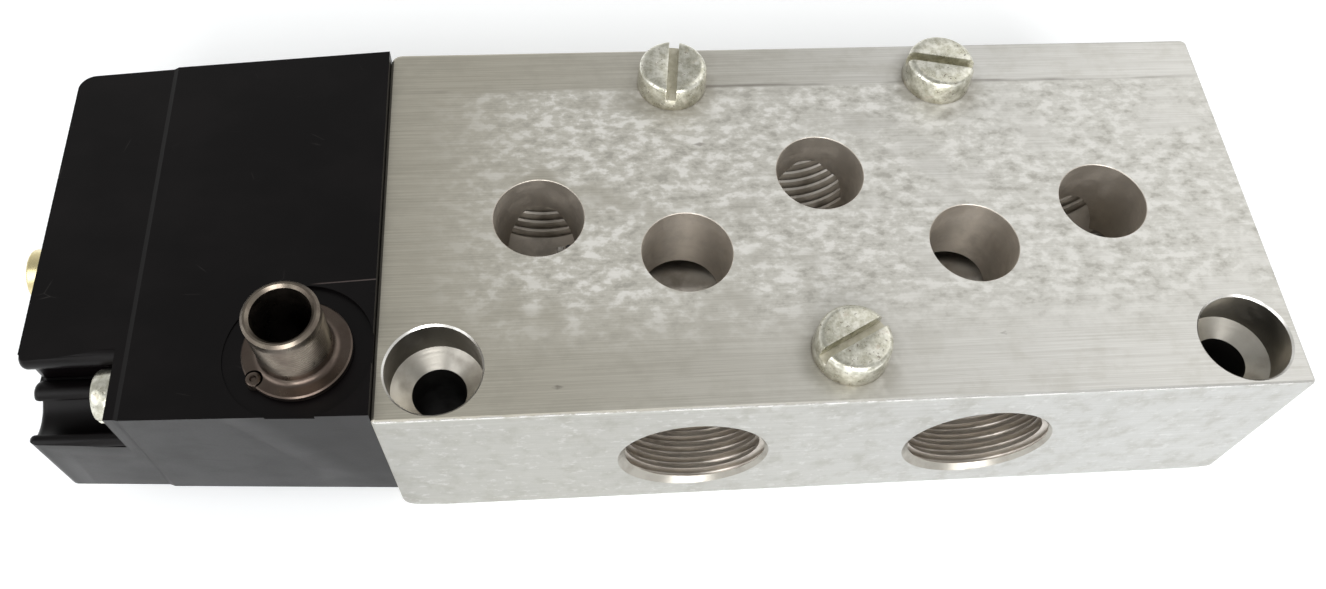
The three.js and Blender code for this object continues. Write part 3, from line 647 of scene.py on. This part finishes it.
# Painted shade: a darkened copy of the steel for the spool, which is seen only in shade inside its bore.
SHADED_SPOOL_METAL = turned_metal("painted_spool_shade", (0.36, 0.335, 0.30, 1), (0.20, 0.18, 0.15, 1), 0.42)
PAINTS = {
    "block_metal": BLOCK_FACE,
    "zinc_screws": plated_screw("plated_fastener", False),
    "steel": plain_metal("ground_steel", (0.58, 0.58, 0.58, 1), (0.36, 0.34, 0.31, 1), 0.24),
    "dark_steel": plain_metal("blackened_steel", (0.15, 0.145, 0.14, 1), (0.28, 0.25, 0.22, 1), 0.36),
    "nickel": dull_nickel(),
    "brass": plain_metal("pale_brass", (0.80, 0.70, 0.40, 1), (0.60, 0.50, 0.26, 1), 0.2),
    "black_plastic": black_moulding(),
    "white_plastic": soft_matter("white_nylon", (0.66, 0.63, 0.54, 1), (0.74, 0.71, 0.62, 1), 0.42),
    "base_alloy": plain_metal("cast_alloy", (0.50, 0.51, 0.52, 1), (0.36, 0.36, 0.35, 1), 0.4, (0.4,) * 3),
    "copper_wire": plain_metal("enamelled_copper", (0.55, 0.20, 0.09, 1), (0.38, 0.11, 0.05, 1), 0.25),
    "rubber": soft_matter("black_rubber", (0.012, 0.012, 0.012, 1), (0.02, 0.02, 0.02, 1), 0.55),
    "gasket_sheet": soft_matter("fibre_sheet", (0.04, 0.065, 0.05, 1), (0.07, 0.095, 0.075, 1), 0.7),
}


# ---------------------------------------------------------------- valve block

# places in the block's list of materials, where 0 is its outer face; the lit rim is a painted highlight, the
# shaded seat and depth are painted shade
LIT_RIM, WALL, THREAD, SHADED_SEAT, SHADED_DEPTH = range(1, 6)
PORT_MAJOR, PORT_MINOR = 8.33, 7.475
THREAD_PITCH, THREAD_TURNS = 1.337, 10.3
DRILL_POINT = 4.5
TOP_HOLE_RADIUS, TOP_HOLE_FLOOR = 5, 9.2
SPOOL_BORE = 5
BLOCK_SOLVER = "MANIFOLD"
SCREW_HOLE_RADIUS, SCREW_HOLE_DEPTH = 2.5, 11
PLUG_BORE, PASSAGE_RADIUS, PASSAGE_Z = 6.5, 1.2, 13.2


def block_blank():
    bm = slab(BLOCK_LOW, BLOCK_HIGH)
    bevel(bm, edges_near(bm, x=LEFT, z=0), 2, 6)
    bevel(bm, edges_near(bm, x=RIGHT, z=0), 0.8, 4)
    for side_y, radius in ((REAR, 1.3), (FRONT, 0.5)):
        for side_x in (LEFT, RIGHT):
            corner = [
                edge
                for edge in edges_near(bm, y=side_y)
                if all(abs(vert.co.x - side_x) < 2.1 for vert in edge.verts)
            ]
            bevel(bm, corner, radius, 6)
    bevel(bm, [e for e in edges_near(bm, z=TOP) if e.calc_face_angle(0) > 1], 0.35, 2)
    bevel(bm, edges_near(bm, y=FRONT, z=0) + edges_near(bm, y=REAR, z=0), 0.3, 2)
    return bm


def port_tools(x, side, bore_end):
    """A port's bore with its chamfered mouth and drill point, and its thread."""
    inward = ALONG_Y * -side
    mouth = Vector((x, side * REAR, PORT_Z))
    chamfer = PORT_MAJOR - PORT_MINOR
    depth = REAR - bore_end
    profile = [(-1, 0), (-1, PORT_MAJOR), (0, PORT_MAJOR), (chamfer, PORT_MINOR)]
    profile += [(depth, PORT_MINOR), (depth + DRILL_POINT, 0)]
    bore = turned(profile, inward, mouth, 96)
    painted(bore, THREAD)
    # The mouth's chamfer gets the painted shade of the seat metal.
    painted(bore, SHADED_SEAT, lambda at: abs(at.y - mouth.y) < chamfer)
    half, crest = 0.55, 0.13
    section = ((-half, -0.15), (-crest, 0.76), (0, 0.81), (crest, 0.76), (half, -0.15))
    start = 0.35
    outline = [mouth + inward * (start + a) + ALONG_Z * (PORT_MINOR + r) for a, r in section]
    thread = painted(helix(outline, inward, mouth, THREAD_PITCH, THREAD_TURNS), THREAD)
    return bore, thread


def top_hole_tool(x, y):
    rim = 0.06
    radius = TOP_HOLE_RADIUS
    profile = [(TOP_HOLE_FLOOR, 0), (TOP_HOLE_FLOOR, radius), (TOP - rim, radius)]
    profile += [(TOP, radius + rim), (TOP + 1, radius + rim), (TOP + 1, 0)]
    return painted(turned(profile, ALONG_Z, Vector((x, y, 0)), 96), WALL)


def fixing_tool(x):
    seat_end, seat_top, bore, hole, rim = 18.2, 19.5, 5, 2.9, 0.2
    profile = [(-1, 0), (-1, hole), (seat_end, hole), (seat_top, bore), (TOP - rim, bore)]
    profile += [(TOP, bore + rim), (TOP + 1, bore + rim), (TOP + 1, 0)]
    # Painted light in the counterbore: a bright lip, a darker seat and a near-black depth.
    tool = painted(turned(profile, ALONG_Z, Vector((x, FIXING_Y, 0)), 96), SHADED_SEAT)
    painted(tool, SHADED_DEPTH, lambda at: at.z < seat_end)
    return painted(tool, LIT_RIM, lambda at: at.z > TOP - rim)


def screw_hole_tool(x, y):
    return painted(
        rod(TOP - SCREW_HOLE_DEPTH, TOP + 1, SCREW_HOLE_RADIUS, ALONG_Z, Vector((x, y, 0)), 32), WALL
    )


def valve_block():
    plug_low, _ = box_mm("end_plug")
    passage = Vector((0, 0, PASSAGE_Z))
    tools = [
        painted(rod(LEFT + 3.5, RIGHT, SPOOL_BORE, ALONG_X, SPOOL_AXIS, 96), WALL),
        # The end plug's bore gets the painted highlight of the rim metal.
        painted(rod(plug_low.x, RIGHT + 1, PLUG_BORE, ALONG_X, SPOOL_AXIS, 96), LIT_RIM),
        painted(rod(LEFT - 1, LEFT + 4.5, PASSAGE_RADIUS, ALONG_X, passage, 24), WALL),
        fixing_tool(-FIXING_X),
        fixing_tool(FIXING_X),
    ]
    for name in TOP_SCREWS:
        spot = middle(name)
        tools.append(screw_hole_tool(spot.x, spot.y))
    for name in ("base_screw_front", "base_screw_rear"):
        spot = middle(name)
        tools.append(painted(rod(LEFT - 1, LEFT + 7, 2, ALONG_X, Vector((0, spot.y, spot.z)), 32), WALL))
    for x, hole_y, side, bore_end in PORTS:
        tools.append(top_hole_tool(x, hole_y))
        tools.extend(port_tools(x, side, bore_end))
    materials = [BLOCK_FACE, LIT_RIM_METAL, HOLE_WALL, THREAD_METAL, SHADED_SEAT_METAL, SHADED_DEPTH_METAL]
    bm = carved(block_blank(), tools, materials, BLOCK_SOLVER)
    piece("block_casting", bm, "valve_body", materials, ["valve_block"], 28, crisp=True)


# ---------------------------------------------------------------- screws and plug


def slotted_head(profile, along, centre, slot_low, slot_high, turn_degrees, round_over=0.1):
    """A turned screw with a straight slot, turned by an angle about its own axis."""
    bm = turned(profile, along, centre, 96)
    slot = slab(slot_low, slot_high)
    turn = Matrix.Rotation(math.radians(turn_degrees), 3, along)
    bmesh.ops.rotate(slot, cent=centre, matrix=turn, verts=slot.verts)
    bm = carved(bm, [slot])
    soften(bm, round_over, 40)
    return bm


def top_screw(name, turn_degrees):
    low, high = box_mm(name)
    centre = Vector(((low.x + high.x) / 2, (low.y + high.y) / 2, 0))
    base, top, edge, shank, reach = 4.1, 3.95, 0.75, 2.4, 10
    crown = [(high.z - edge + edge * math.sin(t), top - edge + edge * math.cos(t)) for t in spread(0, 90, 7)]
    profile = [(TOP - reach, 0), (TOP - reach, shank - 0.4), (TOP - reach + 0.4, shank), (TOP, shank)]
    profile += [(TOP, base - 0.12), (TOP + 0.12, base), *crown, (high.z, 0)]
    half = 0.58
    slot_low = centre + Vector((-6, -half, high.z - 1.5))
    slot_high = centre + Vector((6, half, high.z + 1))
    bm = slotted_head(profile, ALONG_Z, centre, slot_low, slot_high, turn_degrees)
    piece(name + "_worn", bm, "valve_body", [SCREW_METAL], [name])


def housing_screw(name, turn_degrees):
    low, high = box_mm(name)
    centre = Vector((0, (low.y + high.y) / 2, (low.z + high.z) / 2))
    seat = low.x + 2
    head, shank, half = 2.75, 1.45, 0.4
    profile = [(low.x, 0), (low.x, head - 0.4), (low.x + 0.12, head - 0.16), (low.x + 0.4, head)]
    profile += [(seat, head), (seat, shank), (high.x, shank), (high.x, 0)]
    slot_low = centre + Vector((low.x - 1, -4, -half))
    slot_high = centre + Vector((low.x + 0.85, 4, half))
    bm = slotted_head(profile, ALONG_X, centre, slot_low, slot_high, turn_degrees, 0.06)
    piece(name + "_worn", bm, "valve_body", [PAINTS["zinc_screws"]], [name])


def end_plug():
    low, high = box_mm("end_plug")
    groove_near, groove_far, groove = low.x + 0.8, low.x + 1.8, 5.5
    radius = 6.45
    profile = [(low.x, 0), (low.x, radius), (groove_near, radius), (groove_near, groove)]
    profile += [(groove_far, groove), (groove_far, radius), (high.x, radius), (high.x, 0)]
    slot_low = SPOOL_AXIS + Vector((high.x - 1.1, -7, -0.7))
    slot_high = SPOOL_AXIS + Vector((high.x + 1, 7, 0.7))
    bm = slotted_head(profile, ALONG_X, SPOOL_AXIS, slot_low, slot_high, 0, 0.2)
    piece("end_plug_turned", bm, "valve_body", [PAINTS["steel"]], ["end_plug"])


# ---------------------------------------------------------------- pilot housing

HEAD_LOW, _ = box_mm("pilot_housing")
TIP = HEAD_LOW.x
NOTCH_WALL = LEFT - 25.8
CAVITY_END = LEFT - 22
SCREW_CLEARANCE, SCREW_SEAT_RADIUS, REAR_POCKET_RADIUS = 1.6, 3, 3.3
BUTTON_BORE, BUTTON_SEAL_RADIUS = 3.1, 4.05
FLANGE_RECESS_RADIUS, NIPPLE_BORE, LOCK_HOLE = 7.6, 3.8, 0.6
# distance left of the block, half width, bottom and top of the draughted body
HEAD_SECTIONS = (
    (0, 23.3, 5.2, 25.3),
    (24.3, 22.33, 6.30, 24.36),
    (24.8, 22.16, 6.46, 24.2),
    (35.5, 21.7, 6.9, 23.7),
)


def head_blank():
    """The body drawn out from the block in steps, each a little smaller, with its tip rounded."""
    distance, half, bottom, top = HEAD_SECTIONS[0]
    bm = bmesh.new()
    corners = ((-half, bottom), (half, bottom), (half, top), (-half, top))
    end = bm.faces.new([bm.verts.new((LEFT - distance, y, z)) for y, z in corners])
    for i, (distance, half, bottom, top) in enumerate(HEAD_SECTIONS[1:]):
        made = bmesh.ops.extrude_face_region(bm, geom=[end], use_keep_orig=i == 0)
        end = next(item for item in made["geom"] if isinstance(item, bmesh.types.BMFace))
        for vert in end.verts:
            vert.co.x = LEFT - distance
            vert.co.y = math.copysign(half, vert.co.y)
            vert.co.z = top if vert.co.z > COIL_AXIS.z else bottom
    bmesh.ops.recalc_face_normals(bm, faces=bm.faces)
    tip_half = HEAD_SECTIONS[-1][1]
    bevel(bm, edges_near(bm, x=TIP, y=tip_half), 1.8, 8)
    bevel(bm, edges_near(bm, x=TIP, y=-tip_half), 1.0, 6)
    bevel(bm, [e for e in edges_near(bm, x=TIP) if e.calc_face_angle(0) > 1], 0.6, 4)
    return bm


def recess_outline(grow):
    """Across the recess: a rounded lip, a half-round guide rib, a hollow and a lower lip.

    The points run from above the lip to outside the lower lip, each moved into the housing by grow."""
    above, out = 32, -32
    lip = arc(-14.25, 22.85, 1.2 - grow, 90, 262, 14)
    rib = arc(-16, 18.1, 1.35 - grow, 4, 152, 12)
    hollow = arc(-18.5, 20.2, 3.6 + grow, -50, -122, 12)
    lower_lip = arc(-21.1, 17.3, 0.9 - grow, 62, 180, 8)
    valley_y = -14.38 + grow
    outline = [(lip[0][0], above), *lip, (valley_y, 21.4 + grow * 0.3), (valley_y, 18.4 - grow * 0.5)]
    outline += [*rib, *hollow, *lower_lip, (out, lower_lip[-1][1]), (out, above)]
    return outline


def corner_recess():
    """The tool for the recess. It flares out at the tip, which rounds the ends of the lips and the rib."""
    flare = 0.8
    sections = [(TIP - 2, flare)]
    for t in reversed(spread(0, 90, 5)):
        sections.append((TIP + flare - flare * math.sin(t), flare - flare * math.cos(t)))
    sections.append((NOTCH_WALL, 0))
    bm = bmesh.new()
    loops = []
    for x, grow in sections:
        verts = [bm.verts.new((x, y, z)) for y, z in recess_outline(grow)]
        loops.append([bm.edges.new(pair) for pair in zip(verts, verts[1:] + verts[:1])])
    for near, far in zip(loops, loops[1:]):
        bmesh.ops.bridge_loops(bm, edges=near + far)
    bmesh.ops.contextual_create(bm, geom=loops[0])
    bmesh.ops.contextual_create(bm, geom=loops[-1])
    bmesh.ops.recalc_face_normals(bm, faces=bm.faces)
    return bm


def pilot_housing():
    front_screw, rear_screw = middle("housing_screw_front"), middle("housing_screw_rear")
    front_axis = Vector((0, front_screw.y, front_screw.z))
    rear_axis = Vector((0, rear_screw.y, rear_screw.z))
    lock = middle("nipple_lock_screw")
    nipple_axis = Vector((NIPPLE.x, NIPPLE.y, 0))
    bm = carved(head_blank(), [corner_recess()])
    soften(bm, 0.22, 42, 4)
    inside = [
        slab((LEFT - 23, -20.6, 7.8), (LEFT + 1, 20.6, 22.8)),
        slab((LEFT - 33, -12, 8.4), (CAVITY_END, 12, 22.3)),
    ]
    tools = inside + [
        rod(TIP - 1, LEFT - 32, BUTTON_BORE, ALONG_X, COIL_AXIS, 64),
        rod(LEFT - 34.8, LEFT - 33.6, BUTTON_SEAL_RADIUS, ALONG_X, COIL_AXIS, 64),
        rod(NOTCH_WALL - 1, CAVITY_END, SCREW_CLEARANCE, ALONG_X, front_axis, 32),
        rod(NOTCH_WALL - 2.3, NOTCH_WALL, SCREW_SEAT_RADIUS, ALONG_X, front_axis, 64),
        rod(TIP - 1, NOTCH_WALL, REAR_POCKET_RADIUS, ALONG_X, rear_axis, 64),
        rod(NOTCH_WALL - 1, CAVITY_END, SCREW_CLEARANCE, ALONG_X, rear_axis, 32),
        rod(NIPPLE_SEAT, NIPPLE_SEAT + 3, FLANGE_RECESS_RADIUS, ALONG_Z, nipple_axis, 96),
        rod(21.8, NIPPLE_SEAT + 1, NIPPLE_BORE, ALONG_Z, nipple_axis, 64),
        rod(23.4, NIPPLE_SEAT + 1, LOCK_HOLE, ALONG_Z, Vector((lock.x, lock.y, 0)), 24),
    ]
    paints = [PAINTS["black_plastic"]]
    bm = carved(bm, tools)
    piece("moulded_housing", bm, "valve_body", paints, ["pilot_housing"], 40, crisp=True)


# ---------------------------------------------------------------- cable nipple


def cable_nipple():
    low, high = box_mm("cable_nipple")
    axis = Vector((NIPPLE.x, NIPPLE.y, 0))
    tube, bore, flange, spigot = 3.75, 2.95, 5.5, 3.7
    under = NIPPLE_SEAT + 0.3
    flange_top = under + 0.75
    fillet = 0.7
    ridge, ridge_depth = 0.36, 0.055
    profile = [(low.z, bore), (low.z, spigot), (under, spigot), (under, flange)]
    profile += [(flange_top - 0.15, flange), (flange_top, flange - 0.15)]
    profile += [
        (flange_top + fillet - fillet * math.cos(t), tube + fillet - fillet * math.sin(t))
        for t in spread(0, 90, 6)
    ]
    start = flange_top + fillet + 0.4
    rings = int((high.z - 0.9 - start) / ridge)
    for i in range(rings):
        profile += [(start + ridge * i, tube), (start + ridge * (i + 0.5), tube - ridge_depth)]
    profile += [(high.z - 0.75, tube), (high.z - 0.3, tube), (high.z, tube - 0.28)]
    profile += [(high.z, bore + 0.3), (high.z - 0.3, bore), (low.z, bore)]
    lock = middle("nipple_lock_screw")
    pocket = rod(NIPPLE_SEAT, high.z + 1, 0.95, ALONG_Z, Vector((lock.x, lock.y, 0)), 48)
    bm = carved(turned(profile, ALONG_Z, axis, 128), [pocket])
    piece("nipple_turned", bm, "valve_body", [PAINTS["nickel"]], ["cable_nipple"], 25)


def lock_screw():
    low, high = box_mm("nipple_lock_screw")
    spot = middle("nipple_lock_screw")
    axis = Vector((spot.x, spot.y, 0))
    head, shank, dimple = 0.85, 0.5, 0.36
    seat = NIPPLE_SEAT + 0.1
    profile = [(low.z, 0), (low.z, shank), (seat, shank), (seat, head), (high.z - 0.3, head)]
    profile += [(high.z - 0.08, head - 0.12), (high.z, head - 0.3), (high.z, dimple)]
    profile += [(high.z - 0.25, dimple - 0.12), (high.z - 0.25, 0)]
    bm = turned(profile, ALONG_Z, axis, 48)
    piece("lock_screw_turned", bm, "valve_body", [PAINTS["nickel"]], ["nipple_lock_screw"])


# ---------------------------------------------------------------- turned inner pieces


def turned_piece(name, node, body, slot, profile, centre, along=ALONG_X, round_over=0.08, steps=64):
    bm = turned(profile, along, centre, steps)
    if round_over:
        soften(bm, round_over, 40)
    piece(name, bm, body, [PAINTS[slot]], [node])


def tube_profile(start, end, outer, inner):
    return [(start, inner), (start, outer), (end, outer), (end, inner), (start, inner)]


def o_ring(node, body, centre):
    """A seal ring that fills its CAD box."""
    low, high = box_mm(node)
    thick = (high.x - low.x) / 2
    across = high.y - low.y
    profile = arc((low.x + high.x) / 2, across / 2 - thick, thick, 0, 360, 16)
    profile[-1] = profile[0]
    turned_piece(node + "_round", node, body, "rubber", profile, centre, round_over=0)


def spring(name, node, centre, radius, wire, turns):
    """A coil spring along the valve."""
    low, high = box_mm(node)
    start, end = low.x + wire, high.x - wire
    outline = [
        centre + Vector((start + wire * math.cos(t), 0, radius + wire * math.sin(t)))
        for t in spread(0, 330, 11)
    ]
    bm = helix(outline, ALONG_X, centre, (end - start) / turns, turns, 40)
    made = piece(name, bm, "valve_body", [PAINTS["steel"]], [node], 60)
    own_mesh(made)


SPOOL_SEALS = ("spool_seal_1", "spool_seal_2", "spool_seal_3", "spool_seal_4")
LAND, STEM, SHELL, POCKET = 4.7, 3.2, 4.2, 3


def land(centre, before, after):
    """A collar of the spool with the groove for its seal ring."""
    half, groove_half, groove = 1.4, 0.6, 3.85
    return [
        (centre - half, before),
        (centre - half, LAND),
        (centre - groove_half, LAND),
        (centre - groove_half, groove),
        (centre + groove_half, groove),
        (centre + groove_half, LAND),
        (centre + half, LAND),
        (centre + half, after),
    ]


def spool():
    low, high = box_mm("spool")
    pocket_start = 29
    profile = [(low.x, 0), (low.x, STEM)]
    profile += land(middle("end_seal_left").x, STEM, STEM)
    for i, node in enumerate(SPOOL_SEALS):
        profile += land(middle(node).x, STEM, SHELL if i == len(SPOOL_SEALS) - 1 else STEM)
    profile += land(middle("end_seal_right").x, SHELL, SHELL)
    profile += [(high.x, SHELL), (high.x, POCKET), (pocket_start, POCKET), (pocket_start, 0)]
    bm = turned(profile, ALONG_X, SPOOL_AXIS, 96)
    soften(bm, 0.12, 40)
    piece("spool_turned", bm, "spool_set", [SHADED_SPOOL_METAL], ["spool"])
    for node in (*SPOOL_SEALS, "end_seal_left", "end_seal_right"):
        o_ring(node, "spool_set", SPOOL_AXIS)


COIL_WIRE = 0.42


def winding_profile(start, end, outer, inner):
    """A coil's outside as a row of round wires."""
    wires = round((end - start) / COIL_WIRE)
    size = (end - start) / wires
    profile = [(start, inner)]
    for i in range(wires):
        wire = arc(start + size * (i + 0.5), outer - size / 2, size / 2, 180, 0, 4)
        profile += wire if i == wires - 1 else wire[:-1]
    return profile + [(end, inner), (start, inner)]


def solenoid():
    low, high = box_mm("coil_bobbin")
    hub, bore, flange, thick = 4.8, 4.15, 6.7, 1.2
    profile = [(low.x, bore), (low.x, flange), (low.x + thick, flange), (low.x + thick, hub)]
    profile += [(high.x - thick, hub), (high.x - thick, flange), (high.x, flange)]
    profile += [(high.x, bore), (low.x, bore)]
    turned_piece("bobbin_turned", "coil_bobbin", "valve_body", "white_plastic", profile, COIL_AXIS)
    low, high = box_mm("coil_winding")
    profile = winding_profile(low.x, high.x, flange - 0.3, hub + 0.1)
    turned_piece(
        "winding_wound", "coil_winding", "valve_body", "copper_wire", profile, COIL_AXIS, round_over=0
    )
    low, high = box_mm("core_tube")
    outer, inner, hole, end = 4, 3.6, 1.9, 0.8
    profile = [(low.x, hole), (low.x, outer), (high.x, outer), (high.x, inner)]
    profile += [(low.x + end, inner), (low.x + end, hole), (low.x, hole)]
    turned_piece("core_tube_drawn", "core_tube", "valve_body", "steel", profile, COIL_AXIS)
    low, high = box_mm("fixed_core")
    profile = tube_profile(low.x, high.x, 3.5, 0.8)
    turned_piece("fixed_core_turned", "fixed_core", "valve_body", "steel", profile, COIL_AXIS)
    low, high = box_mm("pilot_seat")
    profile = tube_profile(low.x, high.x, 2.35, 0.9)
    turned_piece("seat_turned", "pilot_seat", "valve_body", "brass", profile, COIL_AXIS)
    low, high = box_mm("armature")
    profile = [(low.x, 0), (low.x, 2.9), (low.x + 0.4, 3.3), (high.x - 0.4, 3.3), (high.x, 2.9), (high.x, 0)]
    turned_piece("armature_turned", "armature", "plunger", "steel", profile, COIL_AXIS)
    low, high = box_mm("push_pin")
    profile = [(low.x, 0), (low.x, 0.54), (high.x, 0.54), (high.x, 0)]
    turned_piece("pin_turned", "push_pin", "plunger", "steel", profile, COIL_AXIS)


def pilot_ball():
    spot = middle("pilot_ball")
    bm = bmesh.new()
    bmesh.ops.create_uvsphere(bm, u_segments=48, v_segments=32, radius=1.3)
    bmesh.ops.translate(bm, vec=spot, verts=bm.verts)
    piece("ball_ground", bm, "ball", [PAINTS["steel"]], ["pilot_ball"], 60)


def override_button():
    low, high = box_mm("override_button")
    stem, collar, tip, edge = 3, 4.2, 1.5, 0.3
    collar_end, collar_start = LEFT - 32.9, LEFT - 31.8
    crown = [(low.x + edge - edge * math.cos(t), stem - edge + edge * math.sin(t)) for t in spread(0, 90, 4)]
    profile = [(low.x + 0.12, 0), (low.x + 0.12, 1.9), (low.x, 2.05), *crown, (collar_end, stem)]
    profile += [(collar_end, collar), (collar_start, collar), (collar_start, tip), (high.x, tip), (high.x, 0)]
    turned_piece(
        "button_turned", "override_button", "button", "brass", profile, COIL_AXIS, round_over=0, steps=96
    )
    o_ring("button_o_ring", "valve_body", COIL_AXIS)


def flat_rings():
    low, high = box_mm("nipple_seal")
    axis = Vector((NIPPLE.x, NIPPLE.y, 0))
    profile = tube_profile(low.z, high.z, 4.2, 3.78)
    turned_piece("nipple_seal_flat", "nipple_seal", "valve_body", "rubber", profile, axis, ALONG_Z)
    low, high = box_mm("nipple_retaining_ring")
    profile = tube_profile(low.z, high.z, 4.7, 3.78)
    turned_piece(
        "retaining_ring_flat", "nipple_retaining_ring", "valve_body", "steel", profile, axis, ALONG_Z
    )


def springs():
    spring("return_spring_coil", "return_spring", SPOOL_AXIS, 2.3, 0.35, 7)
    spring("ball_spring_coil", "ball_spring", COIL_AXIS, 1.05, 0.15, 3)
    spring("button_spring_coil", "button_spring", COIL_AXIS, 2.6, 0.12, 2.5)


def dress_cad_nodes():
    """Gives each CAD node that still shows the finish of its slot."""
    slots = {row["node"]: row["material_slot"] for row in frame["record"]["subparts"]}
    for node, shape in frame["nodes"].items():
        if not shape.hide_render:
            shape.data.materials.clear()
            shape.data.materials.append(PAINTS[slots[node]])


# ---------------------------------------------------------------- assembly

add_camera()
add_lights()
add_sky()
add_floor()
valve_block()
for screw, slot_turn in TOP_SCREWS.items():
    top_screw(screw, slot_turn)
end_plug()
o_ring("end_plug_o_ring", "valve_body", SPOOL_AXIS)
pilot_housing()
housing_screw("housing_screw_front", 8)
housing_screw("housing_screw_rear", 50)
cable_nipple()
lock_screw()
flat_rings()
spool()
solenoid()
pilot_ball()
override_button()
springs()
dress_cad_nodes()

bpy.context.scene.view_settings.view_transform = "Standard"
